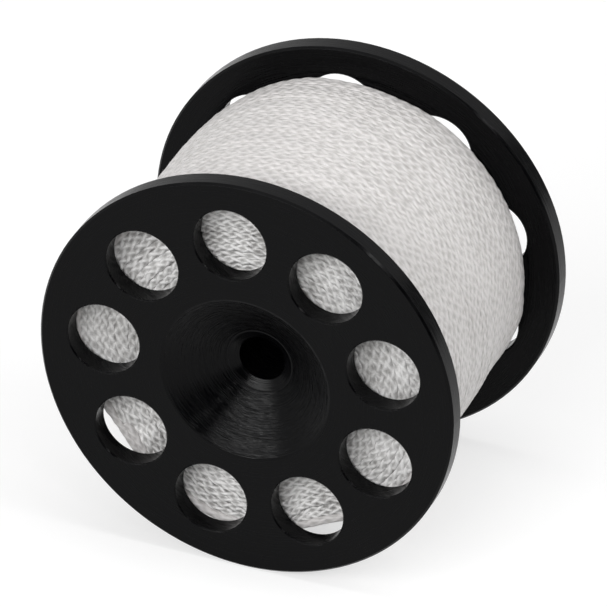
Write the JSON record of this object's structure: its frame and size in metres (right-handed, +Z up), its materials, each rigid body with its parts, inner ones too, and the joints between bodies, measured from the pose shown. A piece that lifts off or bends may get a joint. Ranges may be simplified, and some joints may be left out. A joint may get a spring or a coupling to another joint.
{
  "type": "finger reel",
  "caption": "Hand-held reel of white braided line: a one-piece black spool with finger cones, a central bore and clip holes in both flanges.",
  "frame": {"origin": "middle of the central bore, on the spool's axis", "axes": "+Y along the spool's axis from the front flange to the back one, +Z up, +X to the right seen from the front; it lies on the rims of both flanges"},
  "size_m": [0.1, 0.07, 0.1],
  "materials": {
    "acetal": "black acetal, turned, satin with fine concentric tool marks in the cones",
    "line": "white braided nylon, slightly glossy"
  },
  "bodies": {
    "root": {"spool_body": "acetal", "line_core": "line", "line_outer_layer": "line"}
  },
  "joints": []
}
